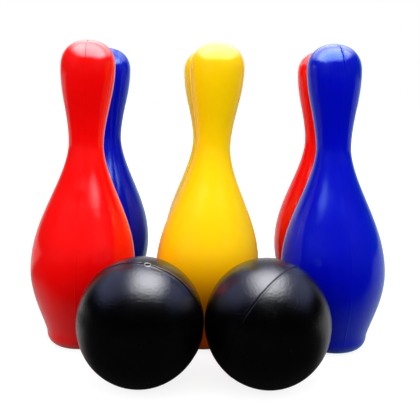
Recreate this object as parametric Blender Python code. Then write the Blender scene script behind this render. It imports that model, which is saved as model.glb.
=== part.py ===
"""Bowling set for small children: six hollow moulded pins and two hollow balls.

Every pin and every ball is one thin plastic shell.  The shells are blown in
split moulds, so each has a fine parting ridge where the mould halves meet,
a pinched seam, and a small blow hole that opens its hollow inside.
Lengths are in metres, +Z is up, and the bowler stands on the -Y side.
"""

import math

import bmesh
import bpy
from mathutils import Euler, Matrix, Vector

# Pin outline, from the floor up
PIN_HEIGHT = 0.240
FOOT_RADIUS = 0.0157
FOOT_CORNER_RADIUS = 0.011
BELLY_RADIUS = 0.0408
NECK_RADIUS = 0.0138
HEAD_RADIUS = 0.0216

# Heights of the outline's turning points, as shares of the pin's height
BELLY_HEIGHT_SHARE = 0.254
NECK_HEIGHT_SHARE = 0.654
HEAD_HEIGHT_SHARE = 0.9125

# How full each stretch of the outline is, where 1 is a plain sine or cosine
FOOT_TAPER_FULLNESS = 1.15
SHOULDER_FULLNESS = 1.04
WAIST_FULLNESS = 0.85
CROWN_SQUARENESS = 2.35

# Moulded shell and foot of a pin
PIN_WALL = 0.0015
FOOT_RING_WIDTH = 0.0055
PUSH_UP_RISE = 0.004
PUSH_UP_BEND_SHARE = 0.75
PIN_BLOW_HOLE_RADIUS = 0.0025

# Parting ridge and pinched crown of a pin
RIDGE_HEIGHT = 0.00035
RIDGE_WIDTH = 0.0016
PINCH_DEPTH = 0.0005
PINCH_LIP_HEIGHT = 0.0003
PINCH_LENGTH = 0.020

# Ball
BALL_RADIUS = 0.0433
BALL_WALL = 0.0018
SEAM_DEPTH = 0.0005
SEAM_WIDTH = 0.0015
SEAM_LIP_HEIGHT = 0.00025
SEAM_LIP_WIDTH = 0.0011
BALL_BLOW_HOLE_RADIUS = 0.0014
BLOW_RIM_RADIUS = 0.0028
BLOW_RIM_HEIGHT = 0.0004
CUT_OVERRUN = 0.001

# How the set stands on the floor: middle of a row to its farthest pin, and row to row
ROW_REACH = 0.1035
ROW_SPACING = 0.0995
BALL_GAP = 0.0003

# Places of the pins, as shares of the reach and the spacing
PIN_PLACE_SHARES = {
    "pin_red_front": (-0.956, 0.0),
    "pin_yellow_front": (-0.019, 0.04),
    "pin_blue_front": (0.9715, 0.0),
    "pin_blue_back": (-0.928, 1.0),
    "pin_yellow_back": (0.0235, 0.98),
    "pin_red_back": (1.0, 1.0),
}

# Middle of the pair of balls, as such shares too, and how the pair is turned
BALL_PAIR_SHARES = (-0.01, -0.8225)
BALL_PAIR_ANGLE = math.radians(1.6)
BALL_SIDES = {"ball_left": -1, "ball_right": 1}

# Pins that came out of the mould a little bent: how far the crown lies to +X
BEND_AT_CROWN = {
    "pin_red_front": 0.0022,
    "pin_yellow_front": 0.0085,
    "pin_blue_front": -0.0021,
    "pin_yellow_back": -0.0053,
}

# Angle of each mould's parting plane about the pin's axis
PARTING_ANGLES = {
    "pin_red_front": math.radians(-88),
    "pin_yellow_front": math.radians(12),
    "pin_blue_front": math.radians(-79),
    "pin_blue_back": math.radians(-45),
    "pin_yellow_back": math.radians(-8),
    "pin_red_back": math.radians(20),
}

# Angles about X, Y and Z that lay a ball's seam plane as it came to rest
BALL_SEAM_ANGLES = {
    "ball_left": (math.radians(-34), math.radians(-107), math.radians(114)),
    "ball_right": (math.radians(-64), math.radians(-22), math.radians(45)),
}

# Height of a pin's tipping axis, as a share of the belly's height
TIP_HEIGHT_SHARE = 0.484

# Angle of the way each pin falls.  The front yellow pin stays standing
TIP_ANGLES = {
    "pin_red_front": math.radians(180),
    "pin_blue_front": math.radians(0),
    "pin_blue_back": math.radians(180),
    "pin_yellow_back": math.radians(90),
    "pin_red_back": math.radians(0),
}

# Finish of the plastics: colour, roughness, metallic
PLASTICS = {
    "red_plastic": ((0.72, 0.005, 0.006), 0.32, 0.0),
    "yellow_plastic": ((0.95, 0.66, 0.0), 0.32, 0.0),
    "blue_plastic": ((0.004, 0.008, 0.42), 0.32, 0.0),
    "black_plastic": ((0.008, 0.008, 0.010), 0.28, 0.0),
}
PIN_PLASTICS = {
    "pin_red_front": "red_plastic",
    "pin_yellow_front": "yellow_plastic",
    "pin_blue_front": "blue_plastic",
    "pin_blue_back": "blue_plastic",
    "pin_yellow_back": "yellow_plastic",
    "pin_red_back": "red_plastic",
}

# Facets
PIN_STEPS_PER_HALF = 10
CROWN_STEPS = 6
HEAD_STEPS = 4
SHOULDER_STEPS = 7
TAPER_STEPS = 5
CORNER_STEPS = 3
INNER_CROWN_STEPS = 2
INNER_HEAD_STEPS = 3
INNER_SHOULDER_STEPS = 5
INNER_TAPER_STEPS = 2
INNER_CORNER_STEPS = 1
BALL_TURN_STEPS = 28
BALL_CAP_STEPS = 7
BALL_INNER_CAP_STEPS = 4
HOLE_SIDES = 12

MERGE_DISTANCE = 0.000002
SMOOTH_ANGLE = math.radians(50)

# Heights that follow from the shares
BELLY_HEIGHT = PIN_HEIGHT * BELLY_HEIGHT_SHARE
NECK_HEIGHT = PIN_HEIGHT * NECK_HEIGHT_SHARE
HEAD_HEIGHT = PIN_HEIGHT * HEAD_HEIGHT_SHARE
TIP_HEIGHT = BELLY_HEIGHT * TIP_HEIGHT_SHARE


# Scene and materials

def clear_scene():
    for old in list(bpy.data.objects):
        bpy.data.objects.remove(old, do_unlink=True)


def make_plastic(name):
    colour, roughness, metallic = PLASTICS[name]
    plastic = bpy.data.materials.new(name)
    plastic.use_nodes = True
    shader = plastic.node_tree.nodes["Principled BSDF"]
    shader.inputs["Base Color"].default_value = (*colour, 1)
    shader.inputs["Roughness"].default_value = roughness
    shader.inputs["Metallic"].default_value = metallic
    return plastic


def make_object(name, bm, plastic, location):
    mesh = bpy.data.meshes.new(name)
    bm.to_mesh(mesh)
    bm.free()
    mesh.materials.append(plastic)
    mesh.shade_smooth()
    mesh.set_sharp_from_angle(angle=SMOOTH_ANGLE)
    piece = bpy.data.objects.new(name, mesh)
    piece.location = location
    bpy.context.scene.collection.objects.link(piece)
    return piece


# Pin outline: each stretch gives (radius, height) points from the crown down

def crown_points(inset, steps):
    """Rounded crown, from the top of the axis down to the widest head."""
    power = 2 / CROWN_SQUARENESS
    radius = HEAD_RADIUS - inset
    rise = PIN_HEIGHT - HEAD_HEIGHT - inset
    points = []
    for step in range(steps + 1):
        angle = math.pi / 2 * step / steps
        across = math.sin(angle) ** power
        up = max(math.cos(angle), 0) ** power
        points.append((radius * across, HEAD_HEIGHT + rise * up))
    return points


def head_points(inset, steps):
    """Cone from the head in to the neck, eased at both ends."""
    points = []
    for step in range(1, steps + 1):
        share = step / steps
        ease = ((1 + math.cos(math.pi * share)) / 2) ** WAIST_FULLNESS
        radius = NECK_RADIUS + (HEAD_RADIUS - NECK_RADIUS) * ease
        points.append((radius - inset, HEAD_HEIGHT - (HEAD_HEIGHT - NECK_HEIGHT) * share))
    return points


def shoulder_points(inset, steps):
    """Sweep from the neck out to the belly, fuller towards the belly."""
    points = []
    for step in range(1, steps + 1):
        share = 1 - step / steps
        ease = ((1 + math.cos(math.pi * share ** SHOULDER_FULLNESS)) / 2) ** WAIST_FULLNESS
        radius = NECK_RADIUS + (BELLY_RADIUS - NECK_RADIUS) * ease
        points.append((radius - inset, BELLY_HEIGHT + (NECK_HEIGHT - BELLY_HEIGHT) * share))
    return points


def taper_points(inset, steps):
    """Tapered side from the belly down to the rounded foot corner."""
    foot_edge = FOOT_RADIUS + FOOT_CORNER_RADIUS
    points = []
    for step in range(1, steps + 1):
        share = 1 - step / steps
        ease = math.sin(math.pi / 2 * share) ** FOOT_TAPER_FULLNESS
        radius = foot_edge + (BELLY_RADIUS - foot_edge) * ease
        height = FOOT_CORNER_RADIUS + (BELLY_HEIGHT - FOOT_CORNER_RADIUS) * share
        points.append((radius - inset, height))
    return points


def corner_points(inset, steps):
    """Arc that rounds the side into the flat foot ring."""
    radius = FOOT_CORNER_RADIUS - inset
    points = []
    for step in range(1, steps + 1):
        angle = math.pi / 2 * step / steps
        across = FOOT_RADIUS + radius * math.cos(angle)
        points.append((across, FOOT_CORNER_RADIUS - radius * math.sin(angle)))
    return points


def push_up_points(inset):
    """Flat foot ring and the hollowed base, in to the blow hole."""
    ring_edge = FOOT_RADIUS - FOOT_RING_WIDTH
    middle = (ring_edge + PIN_BLOW_HOLE_RADIUS) / 2
    points = [(ring_edge, inset)] if inset == 0 else []
    points.append((middle, PUSH_UP_RISE * PUSH_UP_BEND_SHARE + inset))
    points.append((PIN_BLOW_HOLE_RADIUS, PUSH_UP_RISE + inset))
    return points


def outer_outline():
    return (
        crown_points(0, CROWN_STEPS)
        + head_points(0, HEAD_STEPS)
        + shoulder_points(0, SHOULDER_STEPS)
        + taper_points(0, TAPER_STEPS)
        + corner_points(0, CORNER_STEPS)
        + push_up_points(0)
    )


def inner_outline():
    return (
        crown_points(PIN_WALL, INNER_CROWN_STEPS)
        + head_points(PIN_WALL, INNER_HEAD_STEPS)
        + shoulder_points(PIN_WALL, INNER_SHOULDER_STEPS)
        + taper_points(PIN_WALL, INNER_TAPER_STEPS)
        + corner_points(PIN_WALL, INNER_CORNER_STEPS)
        + push_up_points(PIN_WALL)
    )


# Pin shell

def station_turns(half_ridge_angle):
    """Turns between the outline's copies, which close up at the parting plane."""
    even = (math.pi - 2 * half_ridge_angle) / PIN_STEPS_PER_HALF
    half_turn = [half_ridge_angle] + [even] * PIN_STEPS_PER_HALF + [half_ridge_angle]
    return half_turn * 2


def spin_outline(bm, outline, turns):
    """Sweep a chain of (radius, height) points once round the Z axis."""
    verts = [bm.verts.new((radius, 0, height)) for radius, height in outline]
    chain = [bm.edges.new(pair) for pair in zip(verts, verts[1:])]
    last = verts + chain
    for turn in turns:
        swept = bmesh.ops.spin(
            bm, geom=last, cent=(0, 0, 0), axis=(0, 0, 1), angle=turn, steps=1
        )
        last = swept["geom_last"]
    bmesh.ops.remove_doubles(bm, verts=bm.verts, dist=MERGE_DISTANCE)


def parting_rise(height, on_ridge):
    """How far the outside stands out at, or just beside, the parting plane."""
    pinched = height > PIN_HEIGHT - PINCH_LENGTH
    if on_ridge:
        return -PINCH_DEPTH if pinched else RIDGE_HEIGHT
    return PINCH_LIP_HEIGHT if pinched else 0


def radial(vert):
    """Outward direction of a vertex, seen from the pin's own axis."""
    return Vector((vert.co.x, vert.co.y, max(vert.co.z - HEAD_HEIGHT, 0))).normalized()


def raise_parting_line(bm, half_ridge_angle):
    """Push out the parting ridge and press in the pinched crown seam."""
    outside = [
        vert for vert in bm.verts
        if vert.co.z > FOOT_CORNER_RADIUS and vert.normal.dot(radial(vert)) > 0
    ]
    for vert in outside:
        radius = math.hypot(vert.co.x, vert.co.y)
        if radius < RIDGE_WIDTH:
            continue
        off_plane = abs(math.asin(vert.co.y / radius))
        if off_plane > half_ridge_angle * 3 / 2:
            continue
        vert.co += radial(vert) * parting_rise(vert.co.z, off_plane < half_ridge_angle / 2)


def bend(bm, crown_shift):
    """Lean the shell to +X in step with its height, with the foot left flat."""
    for vert in bm.verts:
        vert.co.x += crown_shift * vert.co.z / PIN_HEIGHT


def make_pin(name, foot, plastic):
    half_ridge_angle = RIDGE_WIDTH / BELLY_RADIUS / 2
    outline = outer_outline() + inner_outline()[::-1]
    bm = bmesh.new()
    spin_outline(bm, outline, station_turns(half_ridge_angle))
    bmesh.ops.recalc_face_normals(bm, faces=bm.faces)
    raise_parting_line(bm, half_ridge_angle)
    turn = Matrix.Rotation(PARTING_ANGLES[name], 4, "Z")
    bmesh.ops.transform(bm, matrix=turn, verts=bm.verts)
    bend(bm, BEND_AT_CROWN.get(name, 0))
    origin = joint_origin(name, foot)
    bmesh.ops.translate(bm, vec=foot - origin, verts=bm.verts)
    return make_object(name, bm, plastic, origin)


def tip_reach():
    """How far out the tipping axis lies, for a pin that ends up on belly and head.

    The axis is as far above the floor as it is from the line that touches the
    belly and the head, because the turn brings that line down onto the floor.
    """
    slope = math.atan2(BELLY_RADIUS - HEAD_RADIUS, HEAD_HEIGHT - BELLY_HEIGHT)
    touch = max(
        radius * math.cos(slope) + height * math.sin(slope) for radius, height in outer_outline()
    )
    return (touch - TIP_HEIGHT - TIP_HEIGHT * math.sin(slope)) / math.cos(slope)


def joint_origin(name, foot):
    """Point on the tipping axis, or the foot of the pin that doesn't tip."""
    if name not in TIP_ANGLES:
        return foot
    across = tip_reach() * math.cos(TIP_ANGLES[name])
    along = tip_reach() * math.sin(TIP_ANGLES[name])
    return foot + Vector((across, along, TIP_HEIGHT))


# Ball shell

def cap_angles(steps, edge_angle):
    """Angles from a pole down to the seam's edge, without the edge itself."""
    return [edge_angle * step / steps for step in range(steps)]


def ball_outline():
    """(Radius, height) points from pole to pole, with the seam at the middle."""
    groove = SEAM_WIDTH / 2 / BALL_RADIUS
    lip = groove + SEAM_LIP_WIDTH / BALL_RADIUS
    quarter = math.pi / 2
    cap = [(angle, BALL_RADIUS) for angle in cap_angles(BALL_CAP_STEPS, quarter - lip)]
    edge = [(quarter - lip, BALL_RADIUS), (quarter - groove, BALL_RADIUS + SEAM_LIP_HEIGHT)]
    upper = cap + edge
    lower = [(math.pi - angle, radius) for angle, radius in reversed(upper)]
    middle = [(quarter, BALL_RADIUS - SEAM_DEPTH)]
    return [
        (radius * math.sin(angle), radius * math.cos(angle))
        for angle, radius in upper + middle + lower
    ]


def cavity_outline():
    radius = BALL_RADIUS - BALL_WALL
    steps = BALL_INNER_CAP_STEPS * 2
    angles = [math.pi * step / steps for step in range(steps + 1)]
    return [(radius * math.sin(angle), radius * math.cos(angle)) for angle in angles]


def turned_mesh(name, outline):
    """Closed ball-like mesh turned round the Z axis, with its faces out."""
    bm = bmesh.new()
    spin_outline(bm, outline, [math.tau / BALL_TURN_STEPS] * BALL_TURN_STEPS)
    bmesh.ops.recalc_face_normals(bm, faces=bm.faces)
    mesh = bpy.data.meshes.new(name)
    bm.to_mesh(mesh)
    bm.free()
    return mesh


def rod_mesh(name, radius, start, end):
    """Round rod along +X from start to end, for the blow hole and its rim."""
    bm = bmesh.new()
    bmesh.ops.create_cone(
        bm, cap_ends=True, segments=HOLE_SIDES, radius1=radius, radius2=radius, depth=end - start
    )
    lay_down = Matrix.Rotation(math.pi / 2, 4, "Y")
    middle = Matrix.Translation(((start + end) / 2, 0, 0))
    bmesh.ops.transform(bm, matrix=middle @ lay_down, verts=bm.verts)
    mesh = bpy.data.meshes.new(name)
    bm.to_mesh(mesh)
    bm.free()
    return mesh


def add_tool(name, mesh, ball):
    """Hidden helper that a Boolean joins to the ball or cuts from it."""
    tool = bpy.data.objects.new(name, mesh)
    tool.hide_render = True
    tool.display_type = "WIRE"
    tool.parent = ball
    bpy.context.scene.collection.objects.link(tool)
    return tool


def add_boolean(piece, operation, tool):
    change = piece.modifiers.new(tool.name, "BOOLEAN")
    change.operation = operation
    change.solver = "EXACT"
    change.object = tool


def seam_frame(name):
    """Turn of the ball, which is made with its blow hole at +X and its seam level."""
    return Euler(BALL_SEAM_ANGLES[name]).to_matrix().to_4x4()


def make_ball(name, centre, plastic):
    mesh = turned_mesh(name, ball_outline())
    mesh.materials.append(plastic)
    mesh.shade_smooth()
    mesh.set_sharp_from_angle(angle=SMOOTH_ANGLE)
    placing = Matrix.Translation(centre) @ seam_frame(name)
    lowest = min((placing @ vert.co).z for vert in mesh.vertices)
    ball = bpy.data.objects.new(name, mesh)
    ball.matrix_world = Matrix.Translation((0, 0, -lowest)) @ placing
    bpy.context.scene.collection.objects.link(ball)

    in_wall = BALL_RADIUS - BALL_WALL / 2
    rim_top = BALL_RADIUS + BLOW_RIM_HEIGHT
    rim = rod_mesh(name + "_rim", BLOW_RIM_RADIUS, in_wall, rim_top)
    cavity = turned_mesh(name + "_cavity", cavity_outline())
    inside = BALL_RADIUS - BALL_WALL - CUT_OVERRUN
    hole = rod_mesh(name + "_hole", BALL_BLOW_HOLE_RADIUS, inside, rim_top + CUT_OVERRUN)

    add_boolean(ball, "UNION", add_tool(name + "_rim", rim, ball))
    add_boolean(ball, "DIFFERENCE", add_tool(name + "_cavity", cavity, ball))
    add_boolean(ball, "DIFFERENCE", add_tool(name + "_hole", hole, ball))
    return ball


# Layout on the floor

def pin_foot(name):
    across, along = PIN_PLACE_SHARES[name]
    return Vector((across * ROW_REACH, along * ROW_SPACING, 0))


def ball_centre(name):
    """The two balls lie side by side, a hair apart, in front of the pins."""
    across_share, along_share = BALL_PAIR_SHARES
    offset = BALL_SIDES[name] * (BALL_RADIUS + BALL_GAP / 2)
    across = across_share * ROW_REACH + offset * math.cos(BALL_PAIR_ANGLE)
    along = along_share * ROW_SPACING + offset * math.sin(BALL_PAIR_ANGLE)
    return Vector((across, along, BALL_RADIUS))


def belly_middle(name):
    """Where a pin's belly stands in plan, which its bend carries aside a little."""
    shift = BEND_AT_CROWN.get(name, 0) * BELLY_HEIGHT_SHARE
    return pin_foot(name) + Vector((shift, 0, 0))


def plan_centre():
    """Middle of the floor that the whole set covers."""
    bellies = [belly_middle(name) for name in PIN_PLACE_SHARES]
    balls = [ball_centre(name) for name in BALL_SIDES]
    left = min(belly.x for belly in bellies) - BELLY_RADIUS
    right = max(belly.x for belly in bellies) + BELLY_RADIUS
    front = min(ball.y for ball in balls) - BALL_RADIUS
    back = max(belly.y for belly in bellies) + BELLY_RADIUS
    return Vector(((left + right) / 2, (front + back) / 2, 0))


def main():
    clear_scene()
    plastics = {name: make_plastic(name) for name in PLASTICS}
    origin = plan_centre()
    for name, plastic in PIN_PLASTICS.items():
        make_pin(name, pin_foot(name) - origin, plastics[plastic])
    for name in BALL_SIDES:
        make_ball(name, ball_centre(name) - origin, plastics["black_plastic"])
    bpy.context.view_layer.update()


main()
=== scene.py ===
"""Looks of a child's bowling set: six moulded pins and two black balls.

Every piece replaces its CAD node with a finer shell of the same form and
rides on that node's body.  Lengths are in metres, in the CAD's own frame.
"""

import math

import bpy
import numpy as np
from mathutils import Euler, Matrix, Vector


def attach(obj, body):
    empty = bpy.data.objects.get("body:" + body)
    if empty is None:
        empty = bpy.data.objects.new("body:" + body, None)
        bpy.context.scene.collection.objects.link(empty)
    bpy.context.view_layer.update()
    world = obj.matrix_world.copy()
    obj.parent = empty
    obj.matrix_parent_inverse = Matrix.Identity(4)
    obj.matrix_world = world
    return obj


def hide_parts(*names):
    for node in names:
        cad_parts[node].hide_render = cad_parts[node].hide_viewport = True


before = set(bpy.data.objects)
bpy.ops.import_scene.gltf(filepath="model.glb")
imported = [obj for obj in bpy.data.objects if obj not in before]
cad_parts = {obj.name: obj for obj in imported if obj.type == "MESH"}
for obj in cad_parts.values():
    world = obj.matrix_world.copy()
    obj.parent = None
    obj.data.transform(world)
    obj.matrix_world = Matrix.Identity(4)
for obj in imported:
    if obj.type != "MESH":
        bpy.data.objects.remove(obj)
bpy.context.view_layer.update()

# Pin outline, as in the CAD but for a slimmer underside of the head and a rounder crown
PIN_HEIGHT = 0.240
FOOT_RADIUS = 0.0157
FOOT_CORNER_RADIUS = 0.011
BELLY_RADIUS = 0.0408
NECK_RADIUS = 0.0138
HEAD_RADIUS = 0.0216
BELLY_HEIGHT = PIN_HEIGHT * 0.254
NECK_HEIGHT = PIN_HEIGHT * 0.654
HEAD_HEIGHT = PIN_HEIGHT * 0.9125
FOOT_TAPER_FULLNESS = 1.15
SHOULDER_FULLNESS = 1.04
WAIST_FULLNESS = 0.85
HEAD_FULLNESS = 0.97
CROWN_SQUARENESS = 2.22
PIN_WALL = 0.0015
FOOT_RING_WIDTH = 0.0055
PUSH_UP_RISE = 0.004
PUSH_UP_FULLNESS = 1.4
PIN_BLOW_HOLE_RADIUS = 0.0025

# Parting line of a pin: a ridge up the sides, a pinched seam over the crown
RIDGE_HEIGHT = 0.00022
RIDGE_SPREAD = 0.00045
RIDGE_FOOT_SHARE = 0.4
PINCH = {
    "depth": 0.00065, "spread": 0.00033,
    "lip_height": 0.00022, "lip_place": 0.00095, "lip_spread": 0.00038,
}
PINCH_LENGTH = 0.024
PINCH_FADE = 0.006

# Ball
BALL_RADIUS = 0.0433
BALL_WALL = 0.0018
SEAM = {
    "depth": 0.0008, "spread": 0.00030,
    "lip_height": 0.00026, "lip_place": 0.0010, "lip_spread": 0.0004,
}
SEAM_FADE = 0.0008
BALL_BLOW_HOLE_RADIUS = 0.0014
BLOW_RIM_RADIUS = 0.0021
BLOW_RIM_SPREAD = 0.0005
BLOW_RIM_HEIGHT = 0.00045
PIT_ANGLE = 0.1
PIT_DEPTH = 0.0012
PIT_SPREAD = 0.0008

# Unevenness of a blown wall: waves round a piece and along it, none near a pin's axis
WAVE_HEIGHT = 0.00006
PIN_WAVES = ((2, 14), (3, 22), (1, 36), (4, 48), (5, 30))
BALL_WAVES = ((2, 3), (3, 5))
CALM_RADII = (0.002, 0.010)

# Pins: node, body, slot, foot on the floor,
# parting angle in degrees, pinch share, crown's shift, seed
PINS = [
    ("pin_red_front", "front_red_pin", "red_plastic", (-0.101502, -0.006974),
     -88, 0.55, 0.0022, 3),
    ("pin_yellow_front", "front_yellow_pin", "yellow_plastic", (-0.004523, -0.002994),
     12, 0.6, 0.0085, 11),
    ("pin_blue_front", "front_blue_pin", "blue_plastic", (0.097994, -0.006974),
     -79, 1.2, -0.0021, 23),
    ("pin_blue_back", "back_blue_pin", "blue_plastic", (-0.098604, 0.092526),
     -45, 1.0, 0.0, 31),
    ("pin_yellow_back", "back_yellow_pin", "yellow_plastic", (-0.000124, 0.090536),
     -8, 0.7, -0.0053, 43),
    ("pin_red_back", "back_red_pin", "red_plastic", (0.100944, 0.092526),
     20, 0.7, 0.0, 53),
]

# Balls: node, body, centre on the floor,
# seam angles in degrees about X, Y and Z, seam share, extra pit beside the blow hole, seed
BALLS = [
    ("ball_left", "left_ball", (-0.047024, -0.090026),
     (-34, -107, 114), 1.0, True, 61),
    ("ball_right", "right_ball", (0.039842, -0.0876),
     (-64, -22, 45), 0.35, False, 73),
]

# Facets of a pin: steps along each stretch of its outline, then steps round it
OUTER_STEPS = {"crown": 34, "head": 30, "shoulder": 46, "taper": 26, "corner": 10, "push_up": 10}
INNER_STEPS = {"crown": 8, "head": 10, "shoulder": 14, "taper": 8, "corner": 3, "push_up": 4}
PIN_STATIONS = (math.radians(6), math.radians(0.5), 40)

# Facets of a ball: rings near the blow hole and beyond, rings inside, then steps round it
NEAR_ANGLE, NEAR_RINGS, FAR_RINGS = math.radians(10), 34, 96
INNER_ANGLE, INNER_RINGS = math.radians(6), 40
BALL_STATIONS = (math.radians(3.6), math.radians(0.24), 45)

SHARP_ANGLE = math.radians(55)

# Surfaces
SEED_STEP = (0.37, 0.11)
PLASTIC_IOR = 1.5
PIN_SPECULAR = 0.22
BALL_SPECULAR = 0.3
SHEEN_ROUGHNESS = 0.35
BUMP_STRENGTH = 0.6
BUMP_DISTANCE = 0.00012
# Each plastic's foot colour is painted shade, darkening the pin from above its belly down to its
# foot
PLASTICS = {
    "red_plastic": {
        "colour": (0.92, 0.0006, 0.0008, 1), "deep": (0.82, 0.0002, 0.0006, 1),
        "foot": (0.66, 0.0002, 0.0006, 1), "foot_shade_share": 0.7, "foot_shade_rise": 0.115,
        "worn": (0.88, 0.02, 0.016, 1), "roughness": (0.10, 0.16),
        "tint": (1.0, 0.95, 1.0, 1), "sheen": 0.30, "sheen_tint": (1.0, 0.36, 0.32, 1),
    },
    "yellow_plastic": {
        "colour": (0.99, 0.63, 0.0005, 1), "deep": (0.98, 0.56, 0.0002, 1),
        "foot": (0.82, 0.06, 0.0, 1), "foot_shade_share": 0.95, "foot_shade_rise": 0.108,
        "worn": (0.98, 0.66, 0.02, 1), "roughness": (0.12, 0.18),
        "tint": (0.75, 0.72, 0.52, 1), "sheen": 0.30, "sheen_tint": (1.0, 0.88, 0.30, 1),
    },
    "blue_plastic": {
        "colour": (0.0002, 0.0008, 0.49, 1), "deep": (0.0002, 0.0003, 0.39, 1),
        "foot": (0.0002, 0.0002, 0.28, 1), "foot_shade_share": 0.6, "foot_shade_rise": 0.115,
        "worn": (0.008, 0.02, 0.53, 1), "roughness": (0.12, 0.18),
        "tint": (0.50, 0.82, 1.0, 1), "sheen": 0.80, "sheen_tint": (0.03, 0.40, 1.0, 1),
    },
}
BLACKS = {
    "deep": (0.0002, 0.0002, 0.0005, 1), "cloud": (0.0010, 0.0010, 0.0018, 1),
    "dust": (0.05, 0.05, 0.055, 1), "scuff": (0.16, 0.16, 0.17, 1),
    "rim": (0.30, 0.31, 0.27, 1),
}
WHITE = (1, 1, 1, 1)

# Floor: its reach, its shade, and how pale the pieces mirror it; to all but the camera it is
# painted dark as shade
FLOOR_REACH = 12.0
FLOOR_PALE = (0.28, 0.28, 0.28, 1)
FLOOR_BOUNCE = (0.08, 0.08, 0.08, 1)
FLOOR_GLOW, FLOOR_FAR_GLOW = 0.84, 0.16
FLOOR_MIRRORED_DARK, FLOOR_MIRRORED_PALE = 0.04, 0.75

# World: where each light fades in along Y or away from X = 0, and its level
BEHIND_FADE, BEHIND_LEVEL = (0.50, 1.0), 0.9
FRONT_FADE, FRONT_LEVEL = (0.1, -0.7), 1.6
SIDE_FADE, SIDE_LEVEL = (0.25, 0.85), 1.2

# Sheets of light: left, right, front and back end
SHEET_ENDS = (-0.8, 0.8, -0.6, 0.9)

# Camera, in the photo's pixels where nothing else is said
CAMERA_PLACE = (-0.0026, -0.5770, 0.1987)
CAMERA_YAW = math.radians(0.089)
CAMERA_PITCH = math.radians(0.44)
CAMERA_ROLL = math.radians(1.006)
LENS = 717.3
FRAME_SIZE = 420
PRINCIPAL_POINT = (210.7, 99.6)
SENSOR_MM = 36.0
CLIP_START = 0.01


# Shapes

def stretch(kind, inset, steps):
    """Points (radius, height) of one stretch of a pin's outline, from the crown down."""
    t = np.linspace(0, 1, steps + 1)
    share = 1 - t
    quarter = np.pi / 2 * t
    if kind == "crown":
        power = 2 / CROWN_SQUARENESS
        radius = (HEAD_RADIUS - inset) * np.sin(quarter) ** power
        rise = np.maximum(np.cos(quarter), 0) ** power
        height = HEAD_HEIGHT + (PIN_HEIGHT - HEAD_HEIGHT - inset) * rise
    elif kind == "head":
        ease = ((1 + np.cos(np.pi * t)) / 2) ** HEAD_FULLNESS
        radius = NECK_RADIUS + (HEAD_RADIUS - NECK_RADIUS) * ease - inset
        height = HEAD_HEIGHT - (HEAD_HEIGHT - NECK_HEIGHT) * t
    elif kind == "shoulder":
        ease = ((1 + np.cos(np.pi * share ** SHOULDER_FULLNESS)) / 2) ** WAIST_FULLNESS
        radius = NECK_RADIUS + (BELLY_RADIUS - NECK_RADIUS) * ease - inset
        height = BELLY_HEIGHT + (NECK_HEIGHT - BELLY_HEIGHT) * share
    elif kind == "taper":
        edge = FOOT_RADIUS + FOOT_CORNER_RADIUS
        ease = np.sin(np.pi / 2 * share) ** FOOT_TAPER_FULLNESS
        radius = edge + (BELLY_RADIUS - edge) * ease - inset
        height = FOOT_CORNER_RADIUS + (BELLY_HEIGHT - FOOT_CORNER_RADIUS) * share
    elif kind == "corner":
        radius = FOOT_RADIUS + (FOOT_CORNER_RADIUS - inset) * np.cos(quarter)
        height = FOOT_CORNER_RADIUS - (FOOT_CORNER_RADIUS - inset) * np.sin(quarter)
    else:
        ring = FOOT_RADIUS - FOOT_RING_WIDTH
        radius = ring + (PIN_BLOW_HOLE_RADIUS - ring) * t
        height = PUSH_UP_RISE * np.sin(quarter) ** PUSH_UP_FULLNESS + inset
    points = np.column_stack((radius, height))
    return points if kind in ("crown", "push_up") else points[1:]


def outline(inset, steps):
    """Outline of one side of a pin's wall, from the crown's middle to the blow hole."""
    return np.vstack([stretch(kind, inset, count) for kind, count in steps.items()])


def stations(zone, step, side_steps):
    """Angles round a piece, close together in a zone on each side of the parting plane."""
    near = np.arange(-zone, zone + step / 2, step)
    side = np.linspace(zone, math.pi - zone, side_steps + 1)[1:-1]
    half = np.concatenate((near, side))
    return np.concatenate((half, half + math.pi))[None, :]


def bell(distance, spread):
    """Bell curve, 1 at no distance."""
    return np.exp(-(distance / spread) ** 2)


def ease_between(value, low, high):
    """Smooth step from 0 at low to 1 at high."""
    t = np.clip((value - low) / (high - low), 0, 1)
    return t * t * (3 - 2 * t)


def sunk_line(off_plane, depth, spread, lip_height, lip_place, lip_spread):
    """Height of a sunk line at the parting plane, with a raised lip on each side."""
    return lip_height * bell(off_plane - lip_place, lip_spread) - depth * bell(off_plane, spread)


def waviness(seed, waves, around, along):
    """Slow unevenness of a blown wall, a few tenths of a millimetre at most."""
    draw = np.random.default_rng(seed)
    total = np.zeros(np.broadcast(around, along).shape)
    for turns, rise in waves:
        phase = draw.uniform(0, 2 * math.pi, 2)
        total += np.sin(turns * around + phase[0]) * np.sin(rise * along + phase[1])
    return total * WAVE_HEIGHT


def closed_mesh(name, grid, first_pole, last_pole):
    """Mesh from rows of points round an axis, closed by a point at each end."""
    rows, count, _ = grid.shape
    verts = np.vstack((grid.reshape(-1, 3), first_pole, last_pole))
    first, last = rows * count, rows * count + 1
    around = np.arange(count)
    after = np.roll(around, -1)
    faces = []
    for start in range(0, (rows - 1) * count, count):
        below = start + count
        ring = (start + around, below + around, below + after, start + after)
        faces += np.column_stack(ring).tolist()
    faces += [(first, int(i), int(j)) for i, j in zip(around, after)]
    end = (rows - 1) * count
    faces += [(last, int(end + j), int(end + i)) for i, j in zip(around, after)]
    mesh = bpy.data.meshes.new(name)
    mesh.from_pydata(verts.tolist(), [], faces)
    mesh.update()
    return mesh


def add_piece(name, mesh, body, node, material):
    """Object for one piece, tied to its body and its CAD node."""
    mesh.materials.append(material)
    mesh.shade_smooth()
    mesh.set_sharp_from_angle(angle=SHARP_ANGLE)
    piece = bpy.data.objects.new(name, mesh)
    bpy.context.scene.collection.objects.link(piece)
    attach(piece, body)
    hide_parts(node)
    return piece


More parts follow.
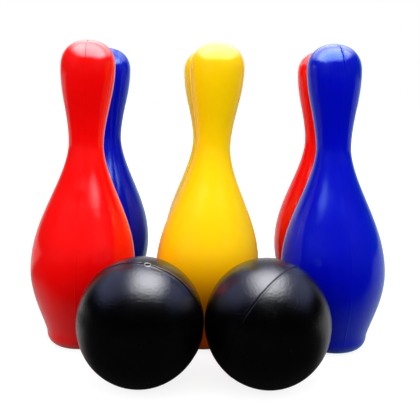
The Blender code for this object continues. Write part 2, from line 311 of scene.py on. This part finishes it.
def make_pin(node, body, slot, foot, parting, pinch_share, crown_shift, seed):
    """Turned shell, closed up at the parting plane and bent above the belly."""
    outer = outline(0, OUTER_STEPS)
    inner = outline(PIN_WALL, INNER_STEPS)[::-1]
    angle = stations(*PIN_STATIONS)
    path = np.vstack((outer[1:], inner[:-1]))
    radius = path[:, 0][:, None]
    height = path[:, 1][:, None]

    # Outward direction of the outline at each row, for the outside only
    along = np.gradient(outer, axis=0)
    normal = np.column_stack((-along[:, 1], along[:, 0]))
    normal /= np.linalg.norm(normal, axis=1)[:, None]
    normal = normal[1:]
    outside = len(normal)

    # Parting line and unevenness, as a rise along that direction
    off_plane = np.abs(radius[:outside] * np.sin(angle))
    high = height[:outside]
    pinch_start = PIN_HEIGHT - PINCH_LENGTH
    pinched = ease_between(high, pinch_start, pinch_start + PINCH_FADE)
    side = ease_between(high, FOOT_CORNER_RADIUS * RIDGE_FOOT_SHARE, FOOT_CORNER_RADIUS)
    ridge = RIDGE_HEIGHT * bell(off_plane, RIDGE_SPREAD)
    pinch = pinch_share * sunk_line(off_plane, **PINCH)
    rise = side * (ridge * (1 - pinched) + pinch * pinched)
    calm = ease_between(radius[:outside], *CALM_RADII)
    rise += side * calm * waviness(seed, PIN_WAVES, angle, high)

    turn = angle + math.radians(parting)
    out_radius = radius + np.zeros_like(turn)
    out_height = height + np.zeros_like(turn)
    out_radius[:outside] += rise * normal[:, :1]
    out_height[:outside] += rise * normal[:, 1:]
    lean = crown_shift * out_height / PIN_HEIGHT
    tilt = crown_shift / PIN_HEIGHT * ease_between(out_height, BELLY_HEIGHT, NECK_HEIGHT)
    grid = np.stack((
        foot[0] + out_radius * np.cos(turn) + lean,
        foot[1] + out_radius * np.sin(turn),
        out_height - out_radius * np.cos(turn) * tilt,
    ), axis=2)
    top = (foot[0] + crown_shift, foot[1], PIN_HEIGHT - pinch_share * PINCH["depth"])
    inside_top = (foot[0] + crown_shift, foot[1], PIN_HEIGHT - PIN_WALL)
    mesh = closed_mesh(node, grid, top, inside_top)
    material = make_plastic(node, slot, (*foot, 0), math.radians(parting), seed)
    return add_piece(node.replace("pin_", "bowling_pin_"), mesh, body, node, material)


def round_blow_hole(radius, theta, psi):
    """Points at an angle from the blow hole's axis, X, and an angle round it."""
    return np.stack((
        radius * np.cos(theta) + 0 * psi,
        radius * np.sin(theta) * np.cos(psi),
        radius * np.sin(theta) * np.sin(psi),
    ), axis=2)


def make_ball(node, body, centre, seam_angles, seam_share, extra_pit, seed):
    """Rings from the far side over the ball to the blow hole, and back inside."""
    hole = BALL_BLOW_HOLE_RADIUS / BALL_RADIUS
    near = np.linspace(hole, NEAR_ANGLE, NEAR_RINGS)
    beyond = np.linspace(NEAR_ANGLE, math.pi, FAR_RINGS)[1:-1]
    theta = np.concatenate((near, beyond))[:, None]
    psi = stations(*BALL_STATIONS)

    off_plane = np.abs(BALL_RADIUS * np.sin(theta) * np.sin(psi))
    from_hole = BALL_RADIUS * theta
    clear = ease_between(from_hole, BLOW_RIM_RADIUS, BLOW_RIM_RADIUS + SEAM_FADE)
    seam = seam_share * sunk_line(off_plane, **SEAM)
    rim = BLOW_RIM_HEIGHT * bell(from_hole - BLOW_RIM_RADIUS, BLOW_RIM_SPREAD)
    waves = waviness(seed, BALL_WAVES, psi, theta) * np.sin(theta)
    outer = round_blow_hole(BALL_RADIUS + clear * seam + rim + waves, theta, psi)
    if extra_pit:
        pit = BALL_RADIUS * np.array((math.cos(PIT_ANGLE), math.sin(PIT_ANGLE), 0.0))
        away = np.linalg.norm(outer - pit, axis=2, keepdims=True)
        outer = outer * (1 - PIT_DEPTH / BALL_RADIUS * bell(away, PIT_SPREAD))

    inner_radius = BALL_RADIUS - BALL_WALL
    inner_theta = np.linspace(INNER_ANGLE, math.pi, INNER_RINGS)[:-1]
    inner_theta = np.concatenate(([hole], inner_theta))[:, None]
    inner = round_blow_hole(inner_radius, inner_theta, psi)

    turn = np.array(Euler([math.radians(a) for a in seam_angles]).to_matrix())
    turned = np.concatenate((outer[::-1], inner), axis=0) @ turn.T
    middle = np.array((centre[0], centre[1], -turned[:, :, 2].min()))
    far_outer = turn @ (-BALL_RADIUS, 0, 0) + middle
    far_inner = turn @ (-inner_radius, 0, 0) + middle
    hole_at = turn @ (BALL_RADIUS, 0, 0) + middle
    mesh = closed_mesh(node, turned + middle, far_outer, far_inner)
    material = make_black(node, middle, hole_at, seed)
    name = node.replace("ball_", "bowling_ball_")
    return add_piece(name, mesh, body, node, material)


# Materials

class Nodes:
    """Short calls for building the node tree of a material or of the world."""

    def __init__(self, owner):
        owner.use_nodes = True
        self.owner = owner
        self.tree = owner.node_tree
        self.tree.nodes.clear()

    def add(self, kind, inputs=(), **settings):
        node = self.tree.nodes.new(kind)
        for key, value in settings.items():
            setattr(node, key, value)
        for key, value in dict(inputs).items():
            if isinstance(value, bpy.types.NodeSocket):
                self.tree.links.new(value, node.inputs[key])
            else:
                node.inputs[key].default_value = value
        return node

    def math(self, operation, a, b=0.0, clamp=False):
        node = self.add("ShaderNodeMath", {0: a, 1: b}, operation=operation, use_clamp=clamp)
        return node.outputs[0]

    def product(self, first, *others):
        for other in others:
            first = self.math("MULTIPLY", first, other)
        return first

    def weighted(self, *terms):
        """Sum of values, each times its weight."""
        parts = [self.math("MULTIPLY", value, weight) for value, weight in terms]
        total = parts[0]
        for part in parts[1:]:
            total = self.math("ADD", total, part)
        return total

    def spread(self, value, between, to=(0.0, 1.0)):
        """Smooth step: a value between two places, taken to a value between two others."""
        ends = {"From Min": between[0], "From Max": between[1], "To Min": to[0], "To Max": to[1]}
        node = self.add(
            "ShaderNodeMapRange", {"Value": value, **ends}, interpolation_type="SMOOTHSTEP"
        )
        return node.outputs["Result"]

    def mix(self, factor, a, b):
        return self.add("ShaderNodeMix", {0: factor, 6: a, 7: b}, data_type="RGBA").outputs[2]

    def vector_math(self, operation, a, b=(0, 0, 0)):
        return self.add("ShaderNodeVectorMath", {0: a, 1: tuple(b)}, operation=operation).outputs

    def moved(self, offset, turn=0.0, scale=(1, 1, 1)):
        """Object coordinates taken from a point, turned about Z, then stretched."""
        coords = self.add("ShaderNodeTexCoord").outputs["Object"]
        away = self.vector_math("SUBTRACT", coords, offset)[0]
        spun = self.add(
            "ShaderNodeVectorRotate", {"Vector": away, "Angle": -turn}, rotation_type="Z_AXIS"
        )
        return self.vector_math("MULTIPLY", spun.outputs[0], scale)[0]

    def noise(self, vector, scale, detail=3.0, roughness=0.5, distortion=0.0):
        inputs = {
            "Vector": vector, "Scale": scale, "Detail": detail,
            "Roughness": roughness, "Distortion": distortion,
        }
        return self.add("ShaderNodeTexNoise", inputs).outputs["Fac"]

    def plastic(self, colour, rough, relief, more):
        """Glossy plastic with its relief, as the material's surface."""
        bump = self.add("ShaderNodeBump", {
            "Strength": BUMP_STRENGTH, "Distance": BUMP_DISTANCE, "Height": relief,
        })
        shader = self.add("ShaderNodeBsdfPrincipled", {
            "Base Color": colour, "Roughness": rough, "Normal": bump.outputs[0],
            "IOR": PLASTIC_IOR, **more,
        })
        self.add("ShaderNodeOutputMaterial", {"Surface": shader.outputs[0]})
        return self.owner


def texture_start(origin, seed):
    """Point that a piece's textures are taken from, another one for each seed."""
    return Vector(origin) - Vector((seed * SEED_STEP[0], seed * SEED_STEP[1], 0))


def make_plastic(name, slot, foot, parting, seed):
    """Satin blow-moulded plastic of a pin, in coordinates that start at its foot."""
    look = PLASTICS[slot]
    n = Nodes(bpy.data.materials.new(name + "_plastic"))
    start = texture_start(foot, seed)
    plain = n.moved(start, parting)
    drawn = n.moved(start, parting, (1, 1, 0.08))
    height = n.add("ShaderNodeSeparateXYZ", {0: n.moved(foot, parting)}).outputs["Z"]

    # Pigment: cloudy patches and flow lines along the pin; the foot colour is painted shade,
    # deepening towards the foot
    clouds = n.noise(plain, 26, detail=4, roughness=0.6)
    flow = n.noise(drawn, 190, roughness=0.6)
    # Painted shade: the lower pin darkens towards its foot
    low = n.spread(height, (look["foot_shade_rise"], 0.0), (0, look["foot_shade_share"]))
    colour = n.mix(n.spread(clouds, (0.35, 0.72), (0, 0.55)), look["colour"], look["deep"])
    colour = n.mix(n.spread(flow, (0.52, 0.75), (0, 0.10)), colour, look["deep"])
    colour = n.mix(low, colour, look["foot"])

    # Rubbed patches on the belly, and small specks
    rub = n.noise(plain, 150, detail=5, roughness=0.7)
    belly = n.product(n.spread(height, (0.03, 0.055)), n.spread(height, (0.10, 0.07)))
    rubbed = n.product(belly, n.spread(rub, (0.60, 0.78), (0, 0.14)))
    specks = n.noise(plain, 900, detail=2)
    colour = n.mix(rubbed, colour, look["worn"])
    colour = n.mix(n.spread(specks, (0.73, 0.80), (0, 0.35)), colour, look["deep"])

    # Dull and glossy patches, streaks where the mould's face was polished
    smudge = n.noise(plain, 48, detail=5, roughness=0.65, distortion=0.4)
    streak = n.noise(drawn, 320, detail=2)
    rough = n.spread(smudge, (0.3, 0.75), look["roughness"])
    rough = n.math("ADD", rough, n.spread(streak, (0.45, 0.8), (0, 0.03)))
    rough = n.math("ADD", rough, n.product(rubbed, 0.3))

    # Fine grain, ripples, flow lines and scratches as relief
    grain = n.noise(plain, 1500, roughness=0.55)
    ripple = n.noise(plain, 120)
    scratch = n.noise(n.moved(start, parting + 0.5, (1, 0.05, 0.6)), 1100, detail=2)
    scratched = n.spread(scratch, (0.74, 0.80))
    relief = n.weighted((grain, 0.18), (ripple, 1.2), (flow, 0.10), (scratched, -0.25))
    return n.plastic(colour, rough, relief, {
        "Specular IOR Level": PIN_SPECULAR, "Specular Tint": look["tint"],
        "Sheen Weight": look["sheen"], "Sheen Roughness": SHEEN_ROUGHNESS,
        "Sheen Tint": look["sheen_tint"],
    })


def make_black(name, centre, hole_at, seed):
    """Satin black plastic of a ball, with hairline scuffs."""
    n = Nodes(bpy.data.materials.new(name + "_plastic"))
    start = texture_start(centre, seed)
    plain = n.moved(start)

    # Pigment and dust
    clouds = n.noise(plain, 40, detail=5, roughness=0.6)
    dust = n.noise(plain, 1100, detail=2)
    colour = n.mix(n.spread(clouds, (0.35, 0.75)), BLACKS["deep"], BLACKS["cloud"])
    colour = n.mix(n.spread(dust, (0.72, 0.80), (0, 0.35)), colour, BLACKS["dust"])

    # Dull and glossy patches
    smudge = n.noise(plain, 60, detail=5, roughness=0.65, distortion=0.5)
    grain = n.noise(plain, 1400, roughness=0.6)
    rough = n.spread(smudge, (0.3, 0.75), (0.17, 0.25))
    rough = n.math("ADD", rough, n.spread(grain, (0.45, 0.8), (0, 0.06)))

    # Hairline scuffs two ways
    hair = n.noise(n.moved(start, 0.9, (1, 0.05, 0.5)), 900, detail=2, distortion=0.3)
    fine = n.noise(n.moved(start, -0.4, (0.06, 1, 0.7)), 1100, detail=2, distortion=0.3)
    scuffs = n.math("ADD", n.spread(hair, (0.72, 0.78)), n.spread(fine, (0.74, 0.80)), clamp=True)
    colour = n.mix(n.product(scuffs, 0.05), colour, BLACKS["scuff"])

    # Pale, patchy rim of the blow hole
    near_hole = n.vector_math("LENGTH", n.moved(hole_at))["Value"]
    ring = n.product(n.spread(near_hole, (0.0015, 0.0018)), n.spread(near_hole, (0.0028, 0.0022)))
    patchy = n.spread(n.noise(plain, 700, roughness=0.6), (0.25, 0.6), (0.35, 1.0))
    colour = n.mix(n.product(ring, patchy), colour, BLACKS["rim"])

    mottle = n.noise(plain, 560, detail=4, roughness=0.65)
    ripple = n.noise(plain, 150)
    relief = n.weighted((grain, 0.5), (mottle, 2.8), (ripple, 1.0), (scuffs, -0.35))
    return n.plastic(colour, rough, relief, {"Specular IOR Level": BALL_SPECULAR})


# Studio

def add_flat(name, corners, level):
    """Level four-cornered face."""
    mesh = bpy.data.meshes.new(name)
    mesh.from_pydata([(x, y, level) for x, y in corners], [], [(0, 1, 2, 3)])
    flat = bpy.data.objects.new(name, mesh)
    bpy.context.scene.collection.objects.link(flat)
    return flat


def make_floor():
    """Large floor, white to the camera but for the set's soft shadow.

    The pieces mirror it painted dark, as shade, but pale behind the set and beside it.
    """
    reach = FLOOR_REACH
    corners = [(-reach, -reach), (reach, -reach), (reach, reach), (-reach, reach)]
    floor = add_flat("floor", corners, 0)
    n = Nodes(bpy.data.materials.new("floor"))
    path = n.add("ShaderNodeLightPath").outputs
    where = n.add("ShaderNodeNewGeometry").outputs["Position"]
    parts = n.add("ShaderNodeSeparateXYZ", {0: where}).outputs

    # What the camera sees: a pale floor that glows white, fully so away from the set
    far = n.spread(n.vector_math("LENGTH", where)["Value"], (0.22, 0.5))
    glow = n.math("ADD", n.product(far, FLOOR_FAR_GLOW), FLOOR_GLOW)
    pale = n.add("ShaderNodeBsdfDiffuse", {"Color": FLOOR_PALE})
    white = n.add("ShaderNodeEmission", {"Color": WHITE, "Strength": glow})
    both = n.add("ShaderNodeAddShader", {0: pale.outputs[0], 1: white.outputs[0]})

    # What other rays see: painted shade, dark but for pale patches behind the set and beside it
    beside = n.product(
        n.spread(parts["Y"], (-0.105, -0.02)),
        n.spread(n.math("ABSOLUTE", parts["X"]), (0.06, 0.11)),
        n.spread(parts["X"], (-0.35, -0.13)),
    )
    beyond = n.math("MAXIMUM", beside, n.spread(parts["Y"], (0.12, 0.2)))
    shade = n.math("ADD", n.product(beyond, FLOOR_MIRRORED_PALE), FLOOR_MIRRORED_DARK)
    grey = n.add("ShaderNodeCombineColor", {0: shade, 1: shade, 2: shade})
    mirrored = n.add("ShaderNodeBsdfDiffuse", {"Color": grey.outputs[0]})
    # Painted shade: the floor gives the pieces only a dark bounce
    dark = n.add("ShaderNodeBsdfDiffuse", {"Color": FLOOR_BOUNCE})
    bounced = n.add("ShaderNodeMixShader", {
        0: path["Is Glossy Ray"], 1: dark.outputs[0], 2: mirrored.outputs[0],
    })
    choose = n.add("ShaderNodeMixShader", {
        0: path["Is Camera Ray"], 1: bounced.outputs[0], 2: both.outputs[0],
    })
    n.add("ShaderNodeOutputMaterial", {"Surface": choose.outputs[0]})
    floor.data.materials.append(n.owner)


def make_world():
    """White behind the set, with soft light from the front and the sides.

    Mirrored in the pieces, only the white behind them shows.  The camera sees
    plain white all round.
    """
    world = bpy.data.worlds.new("studio")
    bpy.context.scene.world = world
    n = Nodes(world)
    coords = n.add("ShaderNodeTexCoord").outputs["Generated"]
    parts = n.add("ShaderNodeSeparateXYZ", {0: coords}).outputs
    path = n.add("ShaderNodeLightPath").outputs
    behind = n.spread(parts["Y"], BEHIND_FADE, (0, BEHIND_LEVEL))
    front = n.spread(parts["Y"], FRONT_FADE, (0, FRONT_LEVEL))
    side = n.spread(n.math("ABSOLUTE", parts["X"]), SIDE_FADE, (0, SIDE_LEVEL))
    fill = n.add("ShaderNodeMath", {
        0: n.math("ADD", front, side), 1: path["Is Diffuse Ray"], 2: behind,
    }, operation="MULTIPLY_ADD")
    level = n.add("ShaderNodeMix", {0: path["Is Camera Ray"], 2: fill.outputs[0], 3: 1.0})
    back = n.add("ShaderNodeBackground", {"Color": WHITE, "Strength": level.outputs[0]})
    n.add("ShaderNodeOutputWorld", {"Surface": back.outputs[0]})


def make_sheet(name, level, middle, pieces, layers):
    """Soft sheet of light overhead that only reflections on some pieces show.

    Each layer has a colour and a strength, a fade to the front and one to the
    back between two Y places, a fade to the sides between two distances from
    the middle, and the share of it that is left there.
    """
    left, right, front, back = SHEET_ENDS
    corners = [(left, front), (left, back), (right, back), (right, front)]
    sheet = add_flat(name, corners, level)
    sheet.visible_camera = False
    sheet.visible_diffuse = False
    sheet.visible_shadow = False
    lit = bpy.data.collections.new(name + "_lit")
    for piece in pieces:
        lit.objects.link(piece)
    sheet.light_linking.receiver_collection = lit
    n = Nodes(bpy.data.materials.new(name))
    where = n.add("ShaderNodeNewGeometry").outputs["Position"]
    parts = n.add("ShaderNodeSeparateXYZ", {0: where}).outputs
    across = n.math("ABSOLUTE", n.math("SUBTRACT", parts["X"], middle))
    surface = n.add("ShaderNodeBsdfTransparent").outputs[0]
    for layer in layers:
        here = n.product(
            n.spread(parts["Y"], layer["front"]),
            n.spread(parts["Y"], layer["back"]),
            n.spread(across, layer["side"], (layer["side_share"], 1.0)),
            layer["strength"],
        )
        glow = n.add("ShaderNodeEmission", {"Color": (*layer["colour"], 1), "Strength": here})
        surface = n.add("ShaderNodeAddShader", {0: glow.outputs[0], 1: surface}).outputs[0]
    n.add("ShaderNodeOutputMaterial", {"Surface": surface})
    sheet.data.materials.append(n.owner)


def make_lamp(name, place, aim, size, radiance):
    """Soft lamp that shows in no reflection."""
    data = bpy.data.lights.new(name, "AREA")
    data.shape = "RECTANGLE"
    data.size, data.size_y = size
    data.energy = radiance * math.pi * size[0] * size[1]
    lamp = bpy.data.objects.new(name, data)
    lamp.location = place
    lamp.rotation_euler = (Vector(aim) - Vector(place)).to_track_quat("-Z", "Y").to_euler()
    lamp.visible_camera = False
    lamp.visible_glossy = False
    bpy.context.scene.collection.objects.link(lamp)


def make_camera():
    """Camera fitted to the photo: square frame, looking almost level."""
    yaw, pitch, roll = CAMERA_YAW, CAMERA_PITCH, CAMERA_ROLL
    level = math.cos(pitch)
    forward = Vector((math.sin(yaw) * level, math.cos(yaw) * level, -math.sin(pitch)))
    right = Vector((math.cos(yaw), -math.sin(yaw), 0))
    up = right.cross(forward)
    rolled_right = math.cos(roll) * right + math.sin(roll) * up
    rolled_up = -math.sin(roll) * right + math.cos(roll) * up
    data = bpy.data.cameras.new("camera")
    data.sensor_fit = "HORIZONTAL"
    data.sensor_width = SENSOR_MM
    data.lens = LENS * SENSOR_MM / FRAME_SIZE
    data.shift_x = (FRAME_SIZE / 2 - PRINCIPAL_POINT[0]) / FRAME_SIZE
    data.shift_y = (PRINCIPAL_POINT[1] - FRAME_SIZE / 2) / FRAME_SIZE
    data.clip_start = CLIP_START
    camera = bpy.data.objects.new("camera", data)
    axes = Matrix((rolled_right, rolled_up, -forward)).transposed().to_4x4()
    camera.matrix_world = Matrix.Translation(CAMERA_PLACE) @ axes
    bpy.context.scene.collection.objects.link(camera)
    bpy.context.scene.camera = camera


pins = [make_pin(*pin) for pin in PINS]
balls = [make_ball(*ball) for ball in BALLS]

make_floor()
make_world()
make_camera()
make_sheet("pin_sheet", 0.43, 0.01, pins, [
    {
        "colour": (0.92, 0.95, 1.0), "strength": 24.0, "side_share": 0.0,
        "front": (-0.42, -0.18), "back": (0.12, -0.05), "side": (0.40, 0.16),
    },
    {
        "colour": (0.92, 0.95, 1.0), "strength": 6.5, "side_share": 0.0,
        "front": (-0.28, -0.04), "back": (0.50, 0.12), "side": (0.42, 0.16),
    },
])
make_sheet("ball_sheet", 0.44, 0.04, balls, [
    {
        "colour": (0.96, 0.97, 1.0), "strength": 23.0, "side_share": 0.0,
        "front": (-0.37, -0.16), "back": (0.19, -0.12), "side": (0.24, 0.05),
    },
    {
        "colour": (0.50, 0.56, 1.0), "strength": 2.2, "side_share": 1.0,
        "front": (-0.42, -0.18), "back": (0.50, 0.10), "side": (0.24, 0.06),
    },
])
make_lamp("top_light", (0.0, 0.0, 0.80), (0.0, 0.0, 0.0), (0.9, 0.8), 0.55)
make_lamp("key_light", (0.0, -0.24, 0.72), (0.0, 0.0, 0.14), (0.7, 0.3), 0.5)
bpy.context.scene.view_settings.view_transform = "Standard"
